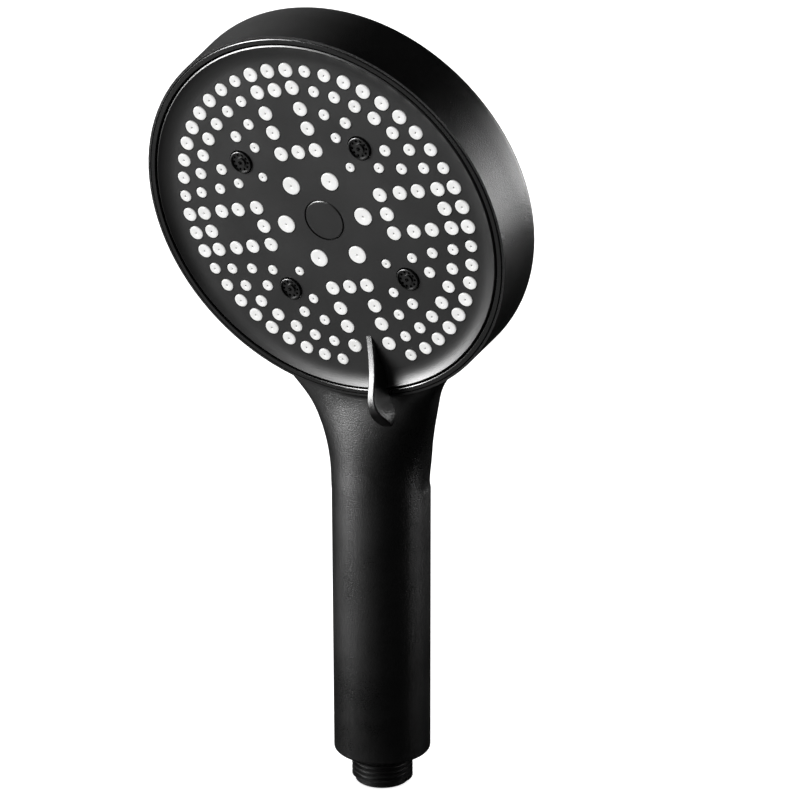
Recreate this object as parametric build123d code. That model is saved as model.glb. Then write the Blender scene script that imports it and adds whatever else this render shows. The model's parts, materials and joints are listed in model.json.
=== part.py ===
from build123d import *
import math
import os

# Handheld shower head. Millimetres, +Z up along the handle, origin at the centre of the hose
# thread's end. The spray face looks along -Y and is tilted down.
# Pieces of the head are drawn in the face frame: x to the side, y up the face and z out of the
# face, with z = 0 at the tips of the nozzles.

# Layout
FACE_TILT = 17.0
AXES_CROSS_Z = 214.7
AXES_CROSS_DEPTH = 36.9
LEVER_REST_ANGLE = 12.1
DETENT_TURNS = (-50.0, -25.0, 0.0, 25.0)

# Handle and neck
HANDLE_R = 16.6
HANDLE_BORE_R = 14.0
HANDLE_BOTTOM_Z = 12.0
HANDLE_EDGE_ROUND = 0.8
NECK_WALL = 2.8
NECK_START_Z = 106.0
SEAM_SPAN_Z = (143.0, 188.0)
SEAM_ROUND = 2.0
# height, half width, front, back and widest line of each neck section
NECK_SECTIONS = (
    (NECK_START_Z, HANDLE_R, -HANDLE_R, HANDLE_R, 0.0),
    (114.0, 16.9, -16.6, 16.6, -0.3),
    (122.0, 18.0, -16.6, 16.6, -1.4),
    (130.0, 20.0, -16.5, 16.6, -3.8),
    (137.0, 22.5, -16.2, 16.6, -7.4),
    (143.0, 25.3, -16.2, 16.5, -11.6),
    (149.0, 29.2, -16.6, 16.0, -13.2),
    (155.0, 33.6, -16.2, 15.0, -12.0),
    (162.0, 36.2, -15.6, 13.6, -9.0),
    (171.0, 33.0, -15.4, 11.6, -6.0),
    (181.0, 26.0, -15.4, 8.6, -5.0),
    (190.0, 19.0, -15.4, 4.6, -5.0),
    (200.0, 12.0, -15.4, 0.0, -7.0),
)

# Head shell
RIM_H = 1.5
HEAD_FRONT_R = 63.3
HEAD_BACK_R = 64.3
BACK_EDGE_ROUND = 4.0
DOME_R = 115.8
DOME_APEX_H = -38.0
SHELL_WALL = 2.5
BOWL_R = 61.5
LIP_BORE_R = 62.55
LIP_STEP_H = -3.1
BASE_BOSS_RADIUS = 46.0
BASE_BOSS_R = 4.0
BASE_REAR_H = -16.0

# Trim ring
BEZEL_INNER_R = 60.7
BEZEL_FRONT_R = 62.3
BEZEL_REAR_R = 61.4
BEZEL_TOP_H = 1.6
BEZEL_STEP_H = -3.0
BEZEL_REAR_H = -11.0

# Turning face
FACE_R = 60.1
FACE_EDGE_H = 1.45
FLAT_R = 54.3
FLAT_H = -0.4
PLATE_REAR_H = -3.2
SKIRT_BORE_R = 57.0
SKIRT_REAR_H = -11.8
HUB_R = 8.0
HUB_REAR_H = -6.5
POST_R = 4.0
POST_FIT = 0.08
POST_TOP_H = -3.5
WASHER_POCKET_R = 6.2
WASHER_POCKET_H = -3.6
CAP_POCKET_R = 7.1
CAP_POCKET_H = -1.9
CAP_GAP = 0.4
CAP_BEVEL = 0.25

# White nozzles: the grid unit is the distance of the six centre nozzles from the axis
GRID = 14.8
CENTRE_NOZZLE_R = 3.0
SLICE_NOZZLE_R = 2.35
SLICE_SIDE = 0.448 * GRID
SLICE_ROWS = (1.605 * GRID, 2.104 * GRID, 2.552 * GRID, 3.035 * GRID)
OUTER_RING_R = 3.464 * GRID
OUTER_STEP = 7.5
FIELD_STEP = 9.0
NOZZLE_GAP = 0.3
NOZZLE_TIP_CHAMFER = 0.35
NOZZLE_BORE_R = 0.3
MAT_REAR_H = -4.4
MAT_R = 56.8

# Mist nozzles
MIST_RADIUS = 32.1
MIST_R = 3.75
MIST_GAP = 0.4
MIST_FRONT_H = 0.3
MIST_RIM = 0.5
MIST_HUB_R = 1.6
MIST_FLOOR_H = -0.3
MIST_FLANGE_R = 4.9
MIST_WELL_R = 3.15
MIST_JETS = 10
MIST_JET_R = 0.42
MIST_JET_RADIUS = 2.5
SWIRL_TOP_H = -3.5

# Lever, measured along its own direction from the pivot
LEVER_START = 41.7
LEVER_END = 71.5
LEVER_W = 2.7
LEVER_TIP_W = 4.8
LEVER_EDGE_ROUND = 0.6
LEVER_MID = 51.3
LEVER_TENON = 10.0
LEVER_TENON_TOP_H = 0.5
LEVER_FOOT = 11.0
LEVER_FOOT_W = 7.0
LEVER_FOOT_H = 1.0
LEVER_FIT = 0.05

# Water plates behind the mat
CHAMBER_FLOOR_H = -6.6
CHAMBER_MID_H = -8.2
CHAMBER_REAR_H = -10.2
PORT_PLATE_REAR_H = -12.2
PORT_RADIUS = 20.0
PORT_R = 3.1
CHANNEL_W = 6.2
RIB = 1.2
DETENT_RADIUS = 44.0
BALL_R = 2.0
BALL_TRAVEL = 0.6

# Fixed water parts
BASE_FRONT_H = -13.0
BASE_R = 51.0
TUBE_R = 6.4
TUBE_BORE_R = 5.0
SOCKET_R = 6.6
TUBE_BOTTOM_Z = 14.2
TUBE_TOP_Z = 139.0
SEAL_GROOVE_R = 5.7
LOWER_SEAL_Z = 22.0
UPPER_SEAL_Z = 131.0
ELBOW_BOTTOM_Z = 124.0
ELBOW_DUCT_Z = 138.0
ELBOW_MIDDLE = -33.0
ELBOW_REAR_H = -24.5

# Screws, seal pocket and ball pocket of the fixed base
SCREW_SHANK_R = 1.1
SCREW_HEAD_R = 2.7
SCREW_SINK = 1.6
SCREW_END_H = -23.5
PIVOT_SHANK_R = 1.0
PIVOT_HEAD_R = 3.4
WASHER_TOP_H = -2.9
PIVOT_HEAD_TOP_H = -1.95
CROSS_L = 3.6
CROSS_W = 0.6
SEAL_CUP_R = 4.4
SEAL_CUP_BORE_R = 2.6
SEAL_CUP_REAR_H = -17.2
SEAL_POCKET_H = -19.6
BALL_POCKET_H = -23.0

# Inlet parts
SCREEN_SPAN_Z = (1.2, 1.9)
SCREEN_HOLE_R = 0.45
SCREEN_PITCH = 1.4
RESTRICTOR_SPAN_Z = (3.0, 8.9)
RESTRICTOR_SEAL_R = 5.4
RESTRICTOR_SEAL_Z = 5.9
FILTER_BORE_Z = 9.0

# Hose thread, G 1/2
THREAD_R = 10.4775
THREAD_CORE_R = 9.3155
THREAD_PITCH = 1.814
THREAD_PATH_R = 10.2
THREAD_LEAD_IN = 1.2
NIPPLE_BORE_R = 6.6
NIPPLE_TOP_Z = 30.0

LOW = (Align.CENTER, Align.CENTER, Align.MIN)
TILT = math.radians(FACE_TILT)
FACE_NORMAL = Vector(0, -math.cos(TILT), -math.sin(TILT))
FACE_CENTRE = Vector(0, 0, AXES_CROSS_Z) + FACE_NORMAL * AXES_CROSS_DEPTH
FACE = Plane(origin=FACE_CENTRE, x_dir=(1, 0, 0), z_dir=FACE_NORMAL)
LEVER_ANGLE = LEVER_REST_ANGLE - 90.0


def polar(radius, angle):
    """Point at a polar angle in degrees."""
    return (radius * math.cos(math.radians(angle)), radius * math.sin(math.radians(angle)))


def on_rotor(along, angle, side=0.0):
    """Point on the turning face, with the angle counted from the lever's direction."""
    x, y = polar(along, LEVER_ANGLE + angle)
    sx, sy = polar(side, LEVER_ANGLE + angle + 90.0)
    return (x + sx, y + sy)


def disc(radius, low, high, at=(0.0, 0.0)):
    """Round disc or rod between two heights."""
    return Pos(at[0], at[1], low) * Cylinder(radius, high - low, align=LOW)


def ring(outer, inner, low, high, at=(0.0, 0.0)):
    """Flat ring between two heights."""
    return disc(outer, low, high, at) - disc(inner, low, high, at)


def spun(outline):
    """Solid of revolution about z from a flat outline with x as radius and y as height."""
    return revolve(Plane.XZ * outline, Axis.Z)


def turned(points):
    """Solid of revolution about z from (radius, height) points."""
    return spun(make_face(Polyline(*points, close=True)))


def spring(mean_r, wire_r, low, high, turns):
    """Round-wire compression spring along z."""
    path = Helix(pitch=(high - low - 2 * wire_r) / turns, height=high - low - 2 * wire_r, radius=mean_r)
    wire = sweep(Plane(origin=path @ 0, z_dir=path % 0) * Circle(wire_r), path=path, is_frenet=True)
    return Pos(0, 0, low + wire_r) * wire


def o_ring(groove_r, outer_r, height):
    """Seal ring that fills the space between a groove and a bore."""
    return Pos(0, 0, height) * Torus((groove_r + outer_r) / 2, (outer_r - groove_r) / 2)


# ---- shell ----


def neck_section(height, half_width, front, back, widest, inset):
    """Closed outline of the neck at one height: a front and a back half ellipse."""
    a = half_width - inset
    rear = EllipticalCenterArc((0, widest), a, back - inset - widest, 0, arc_size=180)
    fore = EllipticalCenterArc((0, widest), a, widest - front - inset, 180, arc_size=180)
    return Pos(0, 0, height) * make_face(Wire([rear, fore]))


def neck(inset):
    """Neck from the round handle up into the head, drawn in by inset."""
    return loft([neck_section(*station, inset) for station in NECK_SECTIONS])


def head_solid(inset, side_front, side_back, front_h):
    """Filled disc of the head with a domed back, in the face frame."""
    dome_r = DOME_R - inset
    centre_h = DOME_APEX_H + DOME_R
    edge_r = side_back - 0.5 * BACK_EDGE_ROUND
    edge_h = centre_h - math.sqrt(dome_r**2 - edge_r**2)
    mid_r = edge_r / 2
    mid_h = centre_h - math.sqrt(dome_r**2 - mid_r**2)
    side_h = edge_h + 0.866 * BACK_EDGE_ROUND
    dome = ThreePointArc((0, DOME_APEX_H + inset), (mid_r, mid_h), (edge_r, edge_h))
    corner = RadiusArc((edge_r, edge_h), (side_back, side_h), -BACK_EDGE_ROUND)
    rest = Polyline((side_back, side_h), (side_front, front_h), (0, front_h), (0, DOME_APEX_H + inset))
    return spun(make_face(Wire([dome, corner, *rest.edges()])))


def body_shell():
    """Handle, neck and bowl of the head in one moulded piece, hollow throughout."""
    handle = disc(HANDLE_R, HANDLE_BOTTOM_Z, NECK_START_Z)
    handle = fillet(handle.faces().sort_by(Axis.Z)[0].edges(), HANDLE_EDGE_ROUND)
    head = FACE * head_solid(0, HEAD_FRONT_R, HEAD_BACK_R, RIM_H)
    outer = head + neck(0) + handle
    seam = outer.edges().filter_by(GeomType.BSPLINE).filter_by_position(Axis.Z, *SEAM_SPAN_Z)
    outer = fillet(seam, SEAM_ROUND)
    bore = disc(HANDLE_BORE_R, HANDLE_BOTTOM_Z - 1, NECK_START_Z + 1)
    bowl = FACE * head_solid(SHELL_WALL, BOWL_R, BOWL_R, RIM_H + 1)
    lip = FACE * disc(LIP_BORE_R, LIP_STEP_H, RIM_H + 1)
    shell = outer - (bowl + neck(NECK_WALL) + bore + lip)
    bosses = [disc(BASE_BOSS_R, DOME_APEX_H, BASE_REAR_H, at) for at in base_screw_places()]
    pilots = [disc(1.1, BASE_REAR_H - 8, BASE_REAR_H, at) for at in base_screw_places()]
    return shell + ((FACE * Part(children=bosses)) & head) - FACE * Part(children=pilots)


def base_screw_places():
    """The four screws of the diverter base."""
    return [polar(BASE_BOSS_RADIUS, angle) for angle in (45, 135, 225, 315)]


def bezel_ring():
    """Trim ring with a narrow front land and a thin sleeve behind it."""
    return turned(
        [
            (BEZEL_INNER_R, BEZEL_REAR_H),
            (BEZEL_REAR_R, BEZEL_REAR_H),
            (BEZEL_REAR_R, BEZEL_STEP_H),
            (BEZEL_FRONT_R, BEZEL_STEP_H),
            (BEZEL_FRONT_R, BEZEL_TOP_H - 0.2),
            (BEZEL_FRONT_R - 0.2, BEZEL_TOP_H),
            (BEZEL_INNER_R + 0.2, BEZEL_TOP_H),
            (BEZEL_INNER_R, BEZEL_TOP_H - 0.2),
        ]
    )


# ---- inlet and pipe ----


def inlet_nipple():
    """Hose thread below the handle, with a plug that fills the handle's bottom."""
    reach = HANDLE_BOTTOM_Z - 2 * THREAD_LEAD_IN
    path = Helix(pitch=THREAD_PITCH, height=reach, radius=THREAD_PATH_R)
    root = THREAD_CORE_R - THREAD_PATH_R - 0.3
    crest = THREAD_R - THREAD_PATH_R + 0.2
    tooth = Polygon((root, -0.72), (root, 0.72), (crest, 0.16), (crest, -0.16), align=None)
    start = Plane(origin=path @ 0, x_dir=(1, 0, 0), z_dir=path % 0)
    thread = Pos(0, 0, THREAD_LEAD_IN) * sweep(start * tooth, path=path, is_frenet=True)
    core = Cylinder(THREAD_CORE_R, HANDLE_BOTTOM_Z, align=LOW)
    sleeve = turned(
        [
            (0, 0),
            (THREAD_CORE_R - 0.2, 0),
            (THREAD_R, THREAD_LEAD_IN),
            (THREAD_R, HANDLE_BOTTOM_Z - THREAD_LEAD_IN),
            (THREAD_CORE_R, HANDLE_BOTTOM_Z),
            (0, HANDLE_BOTTOM_Z),
        ]
    )
    plug = disc(HANDLE_BORE_R, HANDLE_BOTTOM_Z, NIPPLE_TOP_Z)
    filter_bore = disc(NIPPLE_BORE_R, -1, FILTER_BORE_Z)
    throat = disc(TUBE_BORE_R, FILTER_BORE_Z - 1, TUBE_BOTTOM_Z + 1)
    tube_socket = disc(SOCKET_R, TUBE_BOTTOM_Z - 0.2, NIPPLE_TOP_Z + 1)
    return ((core + thread) & sleeve) + plug - filter_bore - throat - tube_socket


def filter_screen():
    """Round strainer with a grid of holes."""
    holes = [disc(SCREEN_HOLE_R, 0, 3, at) for at in strainer_places()]
    return disc(NIPPLE_BORE_R - 0.05, *SCREEN_SPAN_Z) - Part(children=holes)


def strainer_places():
    """Holes of the strainer on four circles."""
    places = [(0.0, 0.0)]
    for circle in range(1, 5):
        count = 6 * circle
        places += [polar(SCREEN_PITCH * circle, 360.0 * k / count) for k in range(count)]
    return places


def flow_restrictor():
    """Disc with six metering holes and a seal groove."""
    groove = ring(NIPPLE_BORE_R, RESTRICTOR_SEAL_R, RESTRICTOR_SEAL_Z - 0.9, RESTRICTOR_SEAL_Z + 0.9)
    body = disc(NIPPLE_BORE_R - 0.15, *RESTRICTOR_SPAN_Z) - groove
    holes = [disc(0.8, 2, 10, polar(2.8, 60 * k)) for k in range(6)]
    return body - Part(children=holes)


def water_tube():
    """Pipe through the handle with a seal groove near each end."""
    tube = ring(TUBE_R, TUBE_BORE_R, TUBE_BOTTOM_Z, TUBE_TOP_Z)
    for height in (LOWER_SEAL_Z, UPPER_SEAL_Z):
        tube -= ring(TUBE_R + 1, SEAL_GROOVE_R, height - 0.8, height + 0.8)
    return tube


def waterway_elbow():
    """Socket for the pipe, a slanting duct, and a closed channel behind the diverter base."""
    channel_depth = BASE_REAR_H - ELBOW_REAR_H
    outer = Pos(0, ELBOW_MIDDLE, ELBOW_REAR_H) * SlotCenterToCenter(30, 18, rotation=90)
    box = extrude(outer, channel_depth)
    floor_h = ELBOW_REAR_H + 2.0
    inner = Pos(0, ELBOW_MIDDLE, floor_h) * SlotCenterToCenter(30, 14, rotation=90)
    cavity = extrude(inner, BASE_REAR_H - floor_h)
    foot = Vector(0, 0, ELBOW_DUCT_Z)
    slope = Vector(0, 2, 22)
    duct = Plane(origin=foot, z_dir=slope) * Cylinder(6.0, slope.length, align=LOW)
    bore = Plane(origin=foot, z_dir=slope) * Cylinder(4.6, slope.length + 2, align=LOW)
    spigot = disc(9.0, ELBOW_BOTTOM_Z, ELBOW_DUCT_Z + 4)
    socket = disc(SOCKET_R, ELBOW_BOTTOM_Z - 1, TUBE_TOP_Z + 0.5)
    return (FACE * box + spigot + duct) - FACE * cavity - socket - bore


# ---- fixed diverter parts ----


def seal_place():
    """The fixed outlet lies straight below the pivot post."""
    return (0.0, -PORT_RADIUS)


def ball_place():
    """The detent pocket lies straight above the pivot post."""
    return (0.0, DETENT_RADIUS)


def diverter_base():
    """Fixed plate with the pivot post, the outlet pocket and the detent pocket."""
    plate = disc(BASE_R, BASE_REAR_H, BASE_FRONT_H)
    post = disc(POST_R, BASE_FRONT_H, POST_TOP_H)
    thrust_pad = disc(9.0, BASE_FRONT_H, PORT_PLATE_REAR_H - 0.1)
    outlet_boss = disc(6.0, -21.0, BASE_REAR_H, seal_place())
    ball_boss = disc(4.0, -24.5, BASE_REAR_H, ball_place())
    base = plate + post + thrust_pad + outlet_boss + ball_boss
    base -= disc(SEAL_CUP_R + 0.1, SEAL_POCKET_H, BASE_FRONT_H + 1, seal_place())
    base -= disc(2.5, SEAL_POCKET_H - 3, SEAL_POCKET_H + 1, seal_place())
    base -= disc(BALL_R + 0.1, BALL_POCKET_H, BASE_FRONT_H + 1, ball_place())
    base -= disc(PIVOT_SHANK_R, -12.0, POST_TOP_H + 1)
    for x, y in base_screw_places():
        base -= disc(1.6, BASE_REAR_H - 1, BASE_FRONT_H, (x, y))
        base -= Pos(x, y, BASE_FRONT_H - SCREW_SINK) * Cone(1.6, 3.2, SCREW_SINK, align=LOW)
    return base


def cross_slot(height, depth):
    """Cross recess in a screw's head."""
    cross = Box(CROSS_L, CROSS_W, 2 * depth) + Box(CROSS_W, CROSS_L, 2 * depth)
    return Pos(0, 0, height) * cross


def base_screws():
    """Four countersunk screws."""
    neck_h = BASE_FRONT_H - SCREW_SINK
    cone = Pos(0, 0, neck_h) * Cone(SCREW_SHANK_R, SCREW_HEAD_R, SCREW_SINK, align=LOW)
    screw = disc(SCREW_SHANK_R, SCREW_END_H, neck_h) + cone - cross_slot(BASE_FRONT_H, 0.45)
    return Part(children=[Pos(x, y, 0) * screw for x, y in base_screw_places()])


def diverter_seal():
    """Rubber cup that presses on the port plate, with a lip round its mouth."""
    cup = ring(SEAL_CUP_R, SEAL_CUP_BORE_R, SEAL_CUP_REAR_H, PORT_PLATE_REAR_H - 0.3)
    lip = ring(SEAL_CUP_R - 0.1, SEAL_CUP_BORE_R + 0.7, PORT_PLATE_REAR_H - 0.4, PORT_PLATE_REAR_H - 0.1)
    return Pos(*seal_place(), 0) * (cup + lip)


def seal_spring():
    """Spring behind the rubber cup."""
    return Pos(*seal_place(), 0) * spring(3.6, 0.25, SEAL_POCKET_H, SEAL_CUP_REAR_H, 3)


def ball_rest_h():
    """Height of the ball's centre when it clears the port plate."""
    return PORT_PLATE_REAR_H - 0.15 - BALL_R


def detent_ball():
    """Steel ball of the detent."""
    return Pos(*ball_place(), ball_rest_h()) * Sphere(BALL_R)


def detent_spring():
    """Spring that pushes the ball at the port plate."""
    return Pos(*ball_place(), 0) * spring(1.5, 0.2, BALL_POCKET_H, ball_rest_h() - 1.6, 6)


def pivot_screw():
    """Screw in the end of the pivot post."""
    shank = disc(PIVOT_SHANK_R, -11.0, WASHER_TOP_H)
    head = disc(PIVOT_HEAD_R, WASHER_TOP_H, PIVOT_HEAD_TOP_H)
    head = fillet(head.edges().group_by(Axis.Z)[-1], 0.4)
    return shank + head - cross_slot(PIVOT_HEAD_TOP_H, 0.6)


def thrust_washer():
    """Plain washer under the screw's head."""
    return ring(WASHER_POCKET_R - 0.4, SCREW_SHANK_R, POST_TOP_H, WASHER_TOP_H)


# ---- turning face ----


def nozzle_places():
    """Every white nozzle as (radius, x, y)."""
    places = [(CENTRE_NOZZLE_R, *on_rotor(GRID, 30.0 + 60.0 * k)) for k in range(6)]
    for quarter in range(4):
        places += slice_nozzles(90.0 * quarter) + field_nozzles(90.0 * quarter + 45.0)
    return places


def slice_nozzles(direction):
    """Two columns of large nozzles that point outward, with single ones between their ends."""
    points = [on_rotor(SLICE_ROWS[0], direction)]
    for row in SLICE_ROWS:
        points += [on_rotor(row, direction, side) for side in (-SLICE_SIDE, SLICE_SIDE)]
    if direction > 0:
        points.append(on_rotor(SLICE_ROWS[3], direction))
        points += [on_rotor(OUTER_RING_R, direction + OUTER_STEP * step) for step in (-1, 0, 1)]
    return [(SLICE_NOZZLE_R, *point) for point in points]


def field_nozzles(middle):
    """Smaller nozzles that fill the quarter between two slices, largest in its middle."""
    places = [(1.5, *on_rotor(SLICE_ROWS[0], middle))]
    places += [(1.65, *on_rotor(SLICE_ROWS[1], middle + side)) for side in (-15.0, 15.0)]
    places += [(1.78, *on_rotor(SLICE_ROWS[2], middle + side)) for side in (-22.5, 22.5)]
    places += [(1.85, *on_rotor(SLICE_ROWS[2], middle + side)) for side in (-11.25, 11.25)]
    for k in range(-3, 4):
        places.append((2.2 - 0.13 * abs(k), *on_rotor(SLICE_ROWS[3], middle + FIELD_STEP * k)))
    for k in range(-4, 5):
        places.append((2.35 - 0.025 * k * k, *on_rotor(OUTER_RING_R, middle + OUTER_STEP * k)))
    return places


def mist_places():
    """The four mist nozzles."""
    return [on_rotor(MIST_RADIUS, angle) for angle in (45.0, 135.0, 225.0, 315.0)]


def at_all(places, piece):
    """Copies of one piece at several places on the face."""
    return Part(children=[Pos(x, y, 0) * piece for x, y in places])


def face_blank():
    """Front plate before its holes: flat middle, dished border, skirt and hub."""
    cove_run = FACE_R - 0.35 - FLAT_R
    cove_rise = FACE_EDGE_H - FLAT_H
    cove_r = (cove_run**2 + cove_rise**2) / (2 * cove_rise)
    cove = RadiusArc((FACE_R - 0.35, FACE_EDGE_H), (FLAT_R, FLAT_H), cove_r)
    rest = Polyline(
        (FLAT_R, FLAT_H),
        (0, FLAT_H),
        (0, PLATE_REAR_H),
        (SKIRT_BORE_R, PLATE_REAR_H),
        (SKIRT_BORE_R, SKIRT_REAR_H),
        (FACE_R, SKIRT_REAR_H),
        (FACE_R, FACE_EDGE_H - 0.25),
        (FACE_R - 0.35, FACE_EDGE_H),
    )
    plate = spun(make_face(Wire([cove, *rest.edges()])))
    return plate + disc(HUB_R, HUB_REAR_H, PLATE_REAR_H)


def lever_tenon(fit):
    """The part of the lever that passes through the plate and its foot, grown by fit all round."""
    tenon = Box(LEVER_TENON + 2 * fit, LEVER_W + 2 * fit, LEVER_TENON_TOP_H - PLATE_REAR_H, align=LOW)
    foot = Box(LEVER_FOOT + 2 * fit, LEVER_FOOT_W + 2 * fit, LEVER_FOOT_H, align=LOW)
    return Pos(LEVER_MID, 0, PLATE_REAR_H) * (tenon + foot)


def face_plate():
    """Front plate with a clearance hole for every nozzle, the hub and the lever's slot."""
    holes = [disc(r + NOZZLE_GAP, PLATE_REAR_H - 1, FLAT_H + 4, (x, y)) for r, x, y in nozzle_places()]
    holes += [disc(MIST_R + MIST_GAP, PLATE_REAR_H - 1, FLAT_H + 1, at) for at in mist_places()]
    holes += [
        disc(POST_R + POST_FIT, HUB_REAR_H - 1, 0),
        disc(WASHER_POCKET_R, WASHER_POCKET_H, 0),
        disc(CAP_POCKET_R, CAP_POCKET_H, 0),
    ]
    return face_blank() - Part(children=holes) - Rot(0, 0, LEVER_ANGLE) * lever_tenon(LEVER_FIT)


def nozzle(radius):
    """One silicone nozzle on the mat, with a narrow outlet and a wider inlet."""
    return turned(
        [
            (radius * 0.55, MAT_REAR_H),
            (radius, MAT_REAR_H),
            (radius, -NOZZLE_TIP_CHAMFER),
            (radius - NOZZLE_TIP_CHAMFER, 0),
            (NOZZLE_BORE_R + 0.5, 0),
            (NOZZLE_BORE_R, -0.25),
            (NOZZLE_BORE_R, -1.4),
            (radius * 0.55, -2.4),
        ]
    )


def nozzle_mat():
    """Silicone sheet with all the nozzles."""
    kinds = {round(r, 3): nozzle(r) for r, _, _ in nozzle_places()}
    inlets = [disc(r - 0.2, MAT_REAR_H - 1, 0, (x, y)) for r, x, y in nozzle_places()]
    inlets += [disc(MIST_FLANGE_R + 0.1, MAT_REAR_H - 1, 0, at) for at in mist_places()]
    inlets.append(disc(HUB_R + 0.1, MAT_REAR_H - 1, 0))
    sheet = disc(MAT_R, MAT_REAR_H, PLATE_REAR_H) - Part(children=inlets)
    return sheet + [Pos(x, y, 0) * kinds[round(r, 3)] for r, x, y in nozzle_places()]


def mist_nozzle():
    """Raised round insert with a rim, a ring of small jets and a hub with a cone-shaped outlet."""
    body = disc(MIST_R, PLATE_REAR_H, MIST_FRONT_H)
    body = fillet(body.edges().group_by(Axis.Z)[-1], 0.25)
    body -= ring(MIST_R - MIST_RIM, MIST_HUB_R, MIST_FLOOR_H, MIST_FRONT_H + 1)
    body += disc(MIST_FLANGE_R, MAT_REAR_H - 0.6, PLATE_REAR_H)
    jets = [polar(MIST_JET_RADIUS, 360.0 * k / MIST_JETS) for k in range(MIST_JETS)]
    body -= at_all(jets, disc(MIST_JET_R, MAT_REAR_H - 1, MIST_FRONT_H))
    body -= disc(MIST_WELL_R, MAT_REAR_H - 1, SWIRL_TOP_H + 0.1)
    body -= Pos(0, 0, MIST_FRONT_H - 0.9) * Cone(0.3, 0.75, 1.0, align=LOW)
    return body - disc(0.3, SWIRL_TOP_H, MIST_FRONT_H)


def swirl_core():
    """Disc behind the mist nozzle whose slanting slots make the water spin."""
    core = disc(MIST_WELL_R - 0.05, MAT_REAR_H - 0.6, SWIRL_TOP_H)
    slot = Pos(2.0, 1.1, 0) * Box(3.4, 0.8, 12)
    cuts = [Rot(0, 0, 120.0 * k) * slot for k in range(3)]
    return core - Part(children=cuts)


def channel(points_radius, angle):
    """Straight channel outline along one rotor direction, as (inner, outer) radius."""
    inner, outer = points_radius
    x, y = on_rotor((inner + outer) / 2, angle)
    return Pos(x, y) * SlotCenterToCenter(outer - inner, CHANNEL_W, rotation=LEVER_ANGLE + angle)


def mist_channel(width):
    """Arc channel that joins the mist port to the four mist wells."""
    start = LEVER_ANGLE + 45.0
    return SlotArc(CenterArc((0, 0), MIST_RADIUS, start, 277.5), width)


def port_angles():
    """Direction of each port from the lever, so that one port meets the outlet at each stop."""
    return [-90.0 - turn - LEVER_ANGLE for turn in DETENT_TURNS]


def channels(grow):
    """Channels of the four spray settings, with their outline moved out by grow."""
    mist, middle, rain, centre = sorted(port_angles())
    runs = [channel((PORT_RADIUS, MIST_RADIUS), mist), channel((PORT_RADIUS, 26.0), middle)]
    runs += [channel((PORT_RADIUS, 48.0), rain), channel((14.0, PORT_RADIUS), centre)]
    width = CHANNEL_W - 2.2
    shapes = [offset(run, grow) if grow else run for run in runs] + [mist_channel(width + 2 * grow)]
    return Sketch() + shapes


def chamber_plate():
    """Plate with channels behind and ring walls in front that lead each port to its nozzles."""
    floor = disc(SKIRT_BORE_R, CHAMBER_MID_H, CHAMBER_FLOOR_H)
    ribs = Pos(0, 0, CHAMBER_REAR_H) * (channels(RIB) - channels(0))
    rear = extrude(ribs, CHAMBER_MID_H - CHAMBER_REAR_H)
    rear += ring(SKIRT_BORE_R, SKIRT_BORE_R - RIB, CHAMBER_REAR_H, CHAMBER_MID_H)
    hub = disc(HUB_R, CHAMBER_REAR_H, CHAMBER_MID_H)
    wall_radii = (HUB_R + 0.1, 18.8, 40.8, SKIRT_BORE_R - RIB)
    walls = [ring(r + RIB, r, CHAMBER_FLOOR_H, MAT_REAR_H) for r in wall_radii]
    well_r = MIST_FLANGE_R + 0.05
    wells = [ring(well_r + RIB, well_r, CHAMBER_FLOOR_H, MAT_REAR_H, at) for at in mist_places()]
    plate = floor + rear + hub + walls + wells
    mist, middle, rain, centre = sorted(port_angles())
    feeds = [(14.0, centre), (26.0, middle), (48.0, rain)]
    drops = [disc(2.0, CHAMBER_MID_H - 1, CHAMBER_FLOOR_H + 1, on_rotor(*feed)) for feed in feeds]
    drops += [disc(1.5, CHAMBER_MID_H - 1, CHAMBER_FLOOR_H + 1, at) for at in mist_places()]
    drops.append(disc(POST_R + POST_FIT, CHAMBER_REAR_H - 1, MAT_REAR_H + 1))
    return plate - Part(children=drops)


def port_plate():
    """Rear plate of the turning face with four ports and four detent dimples."""
    plate = disc(SKIRT_BORE_R, PORT_PLATE_REAR_H, CHAMBER_REAR_H) - disc(POST_R + POST_FIT, -13, -10)
    ports = [disc(PORT_R, -13, -10, on_rotor(PORT_RADIUS, angle)) for angle in port_angles()]
    dimple = Pos(0, 0, ball_rest_h() + BALL_TRAVEL) * Sphere(BALL_R + 0.1)
    dimples = [Pos(*polar(DETENT_RADIUS, 90.0 - turn), 0) * dimple for turn in DETENT_TURNS]
    return plate - ports - dimples


def centre_cap():
    """Round cap over the pivot screw with a bevelled edge and a push-in skirt."""
    top = disc(CAP_POCKET_R - CAP_GAP, CAP_POCKET_H, FLAT_H)
    top = chamfer(top.edges().group_by(Axis.Z)[-1], CAP_BEVEL)
    return top + ring(WASHER_POCKET_R - 0.02, WASHER_POCKET_R - 0.6, -2.7, CAP_POCKET_H)


def lever_profile():
    """Side outline of the lever: a crest that rises over the edge of the head to a round tip."""
    foot = (LEVER_START, FLAT_H)
    rise = [foot, (48.2, 2.5), (54.2, 6.3), (59.5, 10.5), (62.6, 11.3)]
    tip = [(68.5, 8.9), (LEVER_END, 6.2), (70.3, 4.3)]
    under = Polyline(tip[-1], (65.0, 2.4), (60.35, 2.2), (60.35, FLAT_H), foot)
    return make_face(Wire([Spline(*rise, *tip), *under.edges()]))


def lever_plan():
    """Front outline of the lever: a thin blade that widens to a round end."""
    half = LEVER_W / 2
    neck_x = 56.0
    back_x = LEVER_START - 1
    outline = list(Polyline((neck_x, -half), (back_x, -half), (back_x, half), (neck_x, half)).edges())
    for side in (1, -1):
        bulb = [(neck_x, side * half), (63.0, side * 1.8), (68.5, side * LEVER_TIP_W / 2)]
        outline.append(Spline(*bulb, (LEVER_END + 0.2, 0), tangents=[(1, 0), (0, -side)]))
    return make_face(Wire(outline))


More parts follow.
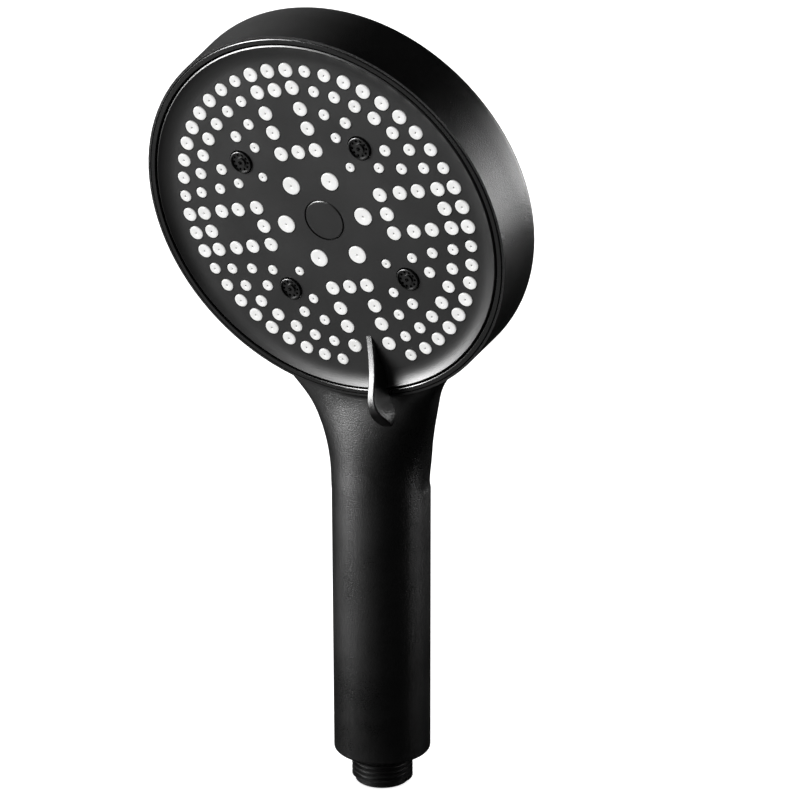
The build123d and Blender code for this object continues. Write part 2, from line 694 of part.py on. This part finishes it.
def mode_lever():
    """Fin over the edge of the head, wider at its tip, with a foot trapped behind the plate."""
    fin = extrude(Plane.XZ.offset(-LEVER_TIP_W) * lever_profile(), 2 * LEVER_TIP_W)
    fin = fin & (Pos(0, 0, FLAT_H - 1) * extrude(lever_plan(), 20))
    crest = fin.edges().filter_by(GeomType.BSPLINE).filter_by_position(Axis.Z, 2.6, 12.0)
    fin = fillet(crest, LEVER_EDGE_ROUND)
    fin = fin - face_blank() - ring(FACE_R + 1, FACE_R - 0.05, FLAT_H - 1, 2.1)
    return Rot(0, 0, LEVER_ANGLE) * (fin + lever_tenon(0))


# ---- output ----


def pieces():
    """Every piece by node name, placed in the object's frame."""
    on_face = {
        "bezel_ring": bezel_ring(),
        "diverter_base": diverter_base(),
        "base_screws": base_screws(),
        "diverter_seal": diverter_seal(),
        "seal_spring": seal_spring(),
        "detent_ball": detent_ball(),
        "detent_spring": detent_spring(),
        "pivot_screw": pivot_screw(),
        "thrust_washer": thrust_washer(),
        "face_plate": face_plate(),
        "nozzle_mat": nozzle_mat(),
        "chamber_plate": chamber_plate(),
        "port_plate": port_plate(),
        "centre_cap": centre_cap(),
        "mode_lever": mode_lever(),
    }
    for number, (x, y) in enumerate(mist_places(), start=1):
        on_face[f"mist_nozzle_{number}"] = Pos(x, y, 0) * mist_nozzle()
        on_face[f"swirl_core_{number}"] = Pos(x, y, 0) * swirl_core()
    placed = {name: FACE * piece for name, piece in on_face.items()}
    placed["body_shell"] = body_shell()
    placed["inlet_nipple"] = inlet_nipple()
    placed["filter_screen"] = filter_screen()
    placed["flow_restrictor"] = flow_restrictor()
    placed["restrictor_o_ring"] = o_ring(RESTRICTOR_SEAL_R, NIPPLE_BORE_R, RESTRICTOR_SEAL_Z)
    placed["water_tube"] = water_tube()
    placed["tube_o_ring_lower"] = o_ring(SEAL_GROOVE_R, SOCKET_R, LOWER_SEAL_Z)
    placed["tube_o_ring_upper"] = o_ring(SEAL_GROOVE_R, SOCKET_R, UPPER_SEAL_Z)
    placed["waterway_elbow"] = waterway_elbow()
    return placed


os.makedirs("parts", exist_ok=True)
for node, shape in pieces().items():
    export_step(shape, f"parts/{node}.step")
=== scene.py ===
"""Looks of the handheld shower head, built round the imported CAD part."""

import json
import math

import bpy
from mathutils import Matrix, Vector


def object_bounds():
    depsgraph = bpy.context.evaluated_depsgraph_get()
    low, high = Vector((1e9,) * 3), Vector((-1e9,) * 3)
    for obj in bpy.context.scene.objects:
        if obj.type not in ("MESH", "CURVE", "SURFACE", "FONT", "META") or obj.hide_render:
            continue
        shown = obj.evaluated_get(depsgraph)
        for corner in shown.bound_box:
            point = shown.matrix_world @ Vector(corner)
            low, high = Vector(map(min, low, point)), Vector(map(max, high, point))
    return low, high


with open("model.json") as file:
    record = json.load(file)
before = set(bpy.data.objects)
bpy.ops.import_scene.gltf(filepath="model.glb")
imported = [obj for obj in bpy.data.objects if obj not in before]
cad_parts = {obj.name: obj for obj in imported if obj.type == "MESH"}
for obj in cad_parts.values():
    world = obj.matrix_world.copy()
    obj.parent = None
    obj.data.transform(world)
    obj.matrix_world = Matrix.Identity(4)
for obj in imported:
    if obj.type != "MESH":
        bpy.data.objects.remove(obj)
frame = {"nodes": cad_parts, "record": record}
cad_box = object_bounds()
nodes = frame["nodes"]
MM = 0.001

# Layout of the head, as in the CAD part: where the face's axis crosses the handle's,
# and how far the face lies in front of that point
FACE_TILT = math.radians(17.0)
FACE_OUT = Vector((0.0, -math.cos(FACE_TILT), -math.sin(FACE_TILT)))
AXES_CROSS = Vector((0.0, 0.0, 214.7)) * MM
FACE_DEPTH = 36.9 * MM

# Depth under the face over which a nozzle's sides get painted shade inside its hole
PAINTED_SHADE_START = 0.45 * MM
PAINTED_SHADE_END = 1.1 * MM

# Middle of the object, which the studio lights are aimed at
MIDDLE = Vector((0.0, 0.0, 0.15))

# Colours of the black plastics, darkest first
BLACK = (0.0012, 0.0012, 0.0013)
GREY_BLACK = (0.0022, 0.0022, 0.0023)
FACE_BLACK = (0.004, 0.004, 0.0042)

# Points closer than this (in metres) are one, and edges flatter than this angle look round
WELD_DISTANCE = 1e-6
SMOOTH_UNDER = math.radians(28.0)

# Stage in metres: flat floor, round bend and upright wall
FLOOR_FRONT = -3.0
BEND_START = 1.2
BEND_R = 0.8
BEND_STEPS = 12
WALL_TOP = 4.0
STAGE_HALF_WIDTH = 5.0
FLOOR_GAP = 0.5 * MM
PAPER_GLOW = 0.72

# Distance of the lights from the middle of the object, in metres
KEY_FAR = 0.9
SIDE_FAR = 1.3
CARD_FAR = 0.45


# ---- camera ----

CAMERA_AT = Vector((396.0, -690.8, 379.7)) * MM
CAMERA_RIGHT = Vector((0.8718, 0.4899, -0.0020))
CAMERA_DOWN = Vector((0.1416, -0.2558, -0.9563))
LENS_MM = 113.4
SENSOR_MM = 36.0
CLIP_NEAR = 0.01
CLIP_FAR = 50.0


def add_camera():
    """Long lens in front of the head, to its right and a little above it."""
    data = bpy.data.cameras.new("camera")
    data.lens = LENS_MM
    data.sensor_width = SENSOR_MM
    data.clip_start = CLIP_NEAR
    data.clip_end = CLIP_FAR
    camera = bpy.data.objects.new("camera", data)
    bpy.context.scene.collection.objects.link(camera)
    right = CAMERA_RIGHT.normalized()
    up = -(CAMERA_DOWN - right * CAMERA_DOWN.dot(right)).normalized()
    back = right.cross(up)
    turn = Matrix((right, up, back)).transposed().to_4x4()
    camera.matrix_world = Matrix.Translation(CAMERA_AT) @ turn
    bpy.context.scene.camera = camera


# ---- materials ----


class Nodes:
    """Wires one material round a single surface shader."""

    def __init__(self, name):
        self.material = bpy.data.materials.new(name)
        self.material.use_nodes = True
        self.tree = self.material.node_tree
        self.tree.nodes.clear()
        self.out = self.add("ShaderNodeOutputMaterial")
        self.shader = self.add("ShaderNodeBsdfPrincipled")
        self.link(self.shader.outputs[0], self.out.inputs[0])

    def add(self, kind, **values):
        node = self.tree.nodes.new(kind)
        for key, value in values.items():
            setattr(node, key, value)
        return node

    def link(self, source, target):
        self.tree.links.new(source, target)

    def set(self, socket, value):
        self.shader.inputs[socket].default_value = value

    def coordinates(self):
        return self.add("ShaderNodeTexCoord").outputs["Object"]

    def noise(self, scale, detail=2.0, rough=0.5, where=None):
        node = self.add("ShaderNodeTexNoise")
        node.inputs["Scale"].default_value = scale
        node.inputs["Detail"].default_value = detail
        node.inputs["Roughness"].default_value = rough
        self.link(where or self.coordinates(), node.inputs["Vector"])
        return node.outputs["Fac"]

    def span(self, source, low, high, from_low=0.3, from_high=0.7):
        node = self.add("ShaderNodeMapRange")
        node.inputs["From Min"].default_value = from_low
        node.inputs["From Max"].default_value = from_high
        node.inputs["To Min"].default_value = low
        node.inputs["To Max"].default_value = high
        self.link(source, node.inputs["Value"])
        return node.outputs["Result"]

    def mix(self, fac, a, b):
        node = self.add("ShaderNodeMix", data_type="RGBA")
        node.inputs[6].default_value = (*a, 1.0)
        node.inputs[7].default_value = (*b, 1.0)
        self.link(fac, node.inputs[0])
        return node.outputs[2]

    def math(self, operation, a, b):
        node = self.add("ShaderNodeMath", operation=operation)
        for socket, value in zip(node.inputs, (a, b)):
            if isinstance(value, (int, float)):
                socket.default_value = value
            else:
                self.link(value, socket)
        return node.outputs[0]

    def multiply(self, a, b):
        node = self.add("ShaderNodeMix", data_type="RGBA", blend_type="MULTIPLY")
        node.inputs[0].default_value = 1.0
        self.link(a, node.inputs[6])
        self.link(b, node.inputs[7])
        return node.outputs[2]

    def along(self, where, direction):
        """Distance of a point along one direction."""
        node = self.add("ShaderNodeVectorMath", operation="DOT_PRODUCT")
        self.link(where, node.inputs[0])
        node.inputs[1].default_value = direction
        return node.outputs["Value"]

    def bump(self, height, distance):
        node = self.add("ShaderNodeBump")
        node.inputs["Distance"].default_value = distance
        node.inputs["Strength"].default_value = 1.0
        self.link(height, node.inputs["Height"])
        return node.outputs["Normal"]


def moulded(name, colours, rough, grain, grain_depth, specular=0.5):
    """Moulded plastic: fine grain in the relief, slow drift in colour and gloss."""
    m = Nodes(name)
    where = m.coordinates()
    drift = m.noise(35.0, 3.0, 0.55, where)
    fine = m.noise(grain, 3.0, 0.6, where)
    both = m.math("ADD", m.math("MULTIPLY", drift, 0.5), m.math("MULTIPLY", fine, 0.5))
    m.link(m.mix(m.span(both, 0.0, 1.0, 0.38, 0.62), *colours), m.shader.inputs["Base Color"])
    m.link(m.span(both, *rough, 0.36, 0.64), m.shader.inputs["Roughness"])
    m.link(m.bump(fine, grain_depth), m.shader.inputs["Normal"])
    m.set("Specular IOR Level", specular)
    return m.material


def silicone():
    """White silicone: soft, slightly translucent, with painted shade where a nozzle stands in its
    hole.
    """
    m = Nodes("white_silicone")
    where = m.coordinates()
    drift = m.noise(160.0, 3.0, 0.5, where)
    fine = m.noise(2600.0, 2.0, 0.5, where)
    face = AXES_CROSS.dot(FACE_OUT) + FACE_DEPTH
    out = m.along(where, FACE_OUT)
    # Painted shade: the white darkens with depth below the face, standing in for the shadow inside
    # each hole
    painted_shade_mask = m.span(out, 0.0, 1.0, face - PAINTED_SHADE_END, face - PAINTED_SHADE_START)
    white = m.mix(m.span(drift, 0.0, 1.0), (0.82, 0.82, 0.81), (0.90, 0.90, 0.895))
    shade = m.mix(painted_shade_mask, (0.04, 0.04, 0.04), (1.0, 1.0, 1.0))
    m.link(m.multiply(white, shade), m.shader.inputs["Base Color"])
    m.link(m.span(fine, 0.5, 0.66), m.shader.inputs["Roughness"])
    m.link(m.bump(fine, 0.04 * MM), m.shader.inputs["Normal"])
    m.set("Subsurface Weight", 0.12)
    m.set("Subsurface Radius", (0.002, 0.002, 0.0018))
    m.set("Specular IOR Level", 0.35)
    return m.material


def metal(name, colour, rough):
    """Brushed-looking steel with a slight drift in colour and gloss."""
    m = Nodes(name)
    fine = m.noise(900.0, 3.0, 0.6, m.coordinates())
    darker = tuple(c * 0.85 for c in colour)
    m.link(m.mix(m.span(fine, 0.0, 1.0), darker, colour), m.shader.inputs["Base Color"])
    m.link(m.span(fine, rough - 0.06, rough + 0.06), m.shader.inputs["Roughness"])
    m.set("Metallic", 1.0)
    return m.material


def make_materials():
    """One material for each slot of the record."""
    deep = (BLACK, GREY_BLACK)
    face = (GREY_BLACK, FACE_BLACK)
    natural = ((0.60, 0.60, 0.58), (0.70, 0.70, 0.68))
    rubber = ((0.008, 0.008, 0.008), (0.014, 0.014, 0.014))
    return {
        "shell_plastic": moulded("satin_black_plastic", deep, (0.26, 0.40), 2600.0, 0.09 * MM),
        "face_plastic": moulded("satin_face_plastic", face, (0.34, 0.44), 3000.0, 0.02 * MM),
        "trim_plastic": moulded("semi_gloss_trim", deep, (0.22, 0.30), 2400.0, 0.01 * MM),
        "mist_plastic": moulded("mist_nozzle_plastic", deep, (0.24, 0.34), 2600.0, 0.02 * MM),
        "inner_plastic": moulded("natural_inner_plastic", natural, (0.42, 0.55), 1500.0, 0.03 * MM),
        "seal_rubber": moulded("black_seal_rubber", rubber, (0.6, 0.75), 2200.0, 0.04 * MM, 0.4),
        "nozzle_silicone": silicone(),
        "spring_steel": metal("spring_steel", (0.62, 0.62, 0.60), 0.30),
        "screw_steel": metal("screw_steel", (0.60, 0.60, 0.60), 0.28),
        "screen_steel": metal("screen_steel", (0.55, 0.55, 0.54), 0.36),
    }


def dress_nodes(materials):
    """Every CAD node takes the material of its record slot."""
    slots = {part["node"]: part["material_slot"] for part in frame["record"]["subparts"]}
    for name, node in nodes.items():
        node.data.materials.clear()
        node.data.materials.append(materials[slots[name]])


# ---- smoothing ----


def smoothing_group():
    """Geometry nodes that smooth every edge under an angle."""
    group = bpy.data.node_groups.new("smooth_by_angle", "GeometryNodeTree")
    group.interface.new_socket("Geometry", in_out="INPUT", socket_type="NodeSocketGeometry")
    group.interface.new_socket("Geometry", in_out="OUTPUT", socket_type="NodeSocketGeometry")
    new = group.nodes.new
    start, end = new("NodeGroupInput"), new("NodeGroupOutput")
    angle = new("GeometryNodeInputMeshEdgeAngle")
    over = new("FunctionNodeCompare")
    over.data_type = "FLOAT"
    over.operation = "LESS_EQUAL"
    over.inputs[1].default_value = SMOOTH_UNDER
    faces = new("GeometryNodeSetShadeSmooth")
    faces.domain = "FACE"
    edges = new("GeometryNodeSetShadeSmooth")
    edges.domain = "EDGE"
    join = group.links.new
    join(start.outputs[0], faces.inputs["Geometry"])
    join(faces.outputs["Geometry"], edges.inputs["Geometry"])
    join(angle.outputs["Unsigned Angle"], over.inputs[0])
    join(over.outputs[0], edges.inputs["Shade Smooth"])
    join(edges.outputs["Geometry"], end.inputs[0])
    return group


def soften(piece, group):
    """Welds and smooths one piece by modifiers."""
    weld = piece.modifiers.new("weld", "WELD")
    weld.merge_threshold = WELD_DISTANCE
    smooth = piece.modifiers.new("smooth", "NODES")
    smooth.node_group = group


# ---- stage and light ----


def stage_material():
    """White paper that glows a little, so that it stays clean white."""
    m = Nodes("studio_paper")
    drift = m.noise(3.0, 2.0, 0.5)
    paper = m.mix(m.span(drift, 0.0, 1.0), (0.86, 0.86, 0.86), (0.88, 0.88, 0.88))
    m.link(paper, m.shader.inputs["Base Color"])
    m.set("Roughness", 0.9)
    m.set("Specular IOR Level", 0.1)
    m.set("Emission Color", (1.0, 1.0, 1.0, 1.0))
    m.set("Emission Strength", PAPER_GLOW)
    return m.material


def add_stage():
    """A pale floor that curves up into a wall far behind."""
    bend = [math.radians(90.0 * k / BEND_STEPS) for k in range(1, BEND_STEPS + 1)]
    profile = [(FLOOR_FRONT, 0.0), (BEND_START, 0.0)]
    profile += [(BEND_START + BEND_R * math.sin(a), BEND_R - BEND_R * math.cos(a)) for a in bend]
    profile.append((BEND_START + BEND_R, WALL_TOP))
    points = [(x, y, z) for x in (-STAGE_HALF_WIDTH, STAGE_HALF_WIDTH) for y, z in profile]
    count = len(profile)
    faces = [(k, k + 1, count + k + 1, count + k) for k in range(count - 1)]
    mesh = bpy.data.meshes.new("floor")
    mesh.from_pydata(points, [], faces)
    for polygon in mesh.polygons:
        polygon.use_smooth = True
    floor = bpy.data.objects.new("floor", mesh)
    floor.location = (0.0, 0.0, cad_box[0][2] - FLOOR_GAP)
    floor.rotation_euler = (0.0, 0.0, math.atan2(CAMERA_RIGHT.y, CAMERA_RIGHT.x))
    bpy.context.scene.collection.objects.link(floor)
    mesh.materials.append(stage_material())
    floor.visible_glossy = False
    floor.visible_diffuse = False


def area_light(name, at, target, size, watts):
    """Rectangular light that only shiny surfaces see."""
    data = bpy.data.lights.new(name, "AREA")
    data.shape = "RECTANGLE"
    data.size, data.size_y = size
    data.energy = watts
    light = bpy.data.objects.new(name, data)
    light.location = at
    light.rotation_euler = (Vector(target) - Vector(at)).to_track_quat("-Z", "Y").to_euler()
    light.visible_diffuse = False
    bpy.context.scene.collection.objects.link(light)
    return light


def heading(turn, rise):
    """Direction turned in degrees from the camera's side, with - to its left."""
    side = Vector((CAMERA_RIGHT.x, CAMERA_RIGHT.y, 0.0)).normalized()
    front = Vector((side.y, -side.x, 0.0))
    a, e = math.radians(turn), math.radians(rise)
    return (side * math.sin(a) + front * math.cos(a)) * math.cos(e) + Vector((0.0, 0.0, math.sin(e)))


def studio_light(name, turn, rise, size, watts, far=SIDE_FAR):
    """Soft light aimed at the object."""
    area_light(name, MIDDLE + heading(turn, rise) * far, MIDDLE, size, watts)


def floor_card(name, turn, size, watts):
    """White card on the floor that the shiny parts mirror."""
    at = heading(turn, 0.0) * CARD_FAR
    card = area_light(name, at, at + Vector((0.0, 0.0, 1.0)), size, watts)
    card.rotation_euler.z = math.atan2(at.y, at.x)


def add_lights():
    """Lights for the shiny surfaces, and a white surround for the matt ones."""
    studio_light("key_left", -80.0, 24.0, (0.45, 0.45), 34.0, KEY_FAR)
    studio_light("key_low_left", -84.0, 2.0, (0.4, 0.4), 12.0, KEY_FAR)
    studio_light("key_front_left", -62.0, 6.0, (0.5, 0.6), 9.0)
    studio_light("side_right", 122.0, 7.0, (0.6, 0.5), 10.0)
    studio_light("side_right_low", 84.0, -2.0, (0.35, 0.7), 5.5)
    studio_light("back_left", -168.0, 28.0, (0.5, 0.9), 0.5)
    floor_card("card_left", -74.0, (0.7, 0.4), 0.32)
    world = bpy.data.worlds.new("studio")
    world.use_nodes = True
    background = world.node_tree.nodes["Background"]
    background.inputs[0].default_value = (1.0, 1.0, 1.0, 1.0)
    background.inputs[1].default_value = 1.0
    world.cycles_visibility.glossy = False
    bpy.context.scene.world = world


# ---- build ----

add_camera()
materials = make_materials()
dress_nodes(materials)
group = smoothing_group()
for node in nodes.values():
    soften(node, group)
add_stage()
add_lights()
bpy.context.scene.view_settings.view_transform = "Standard"
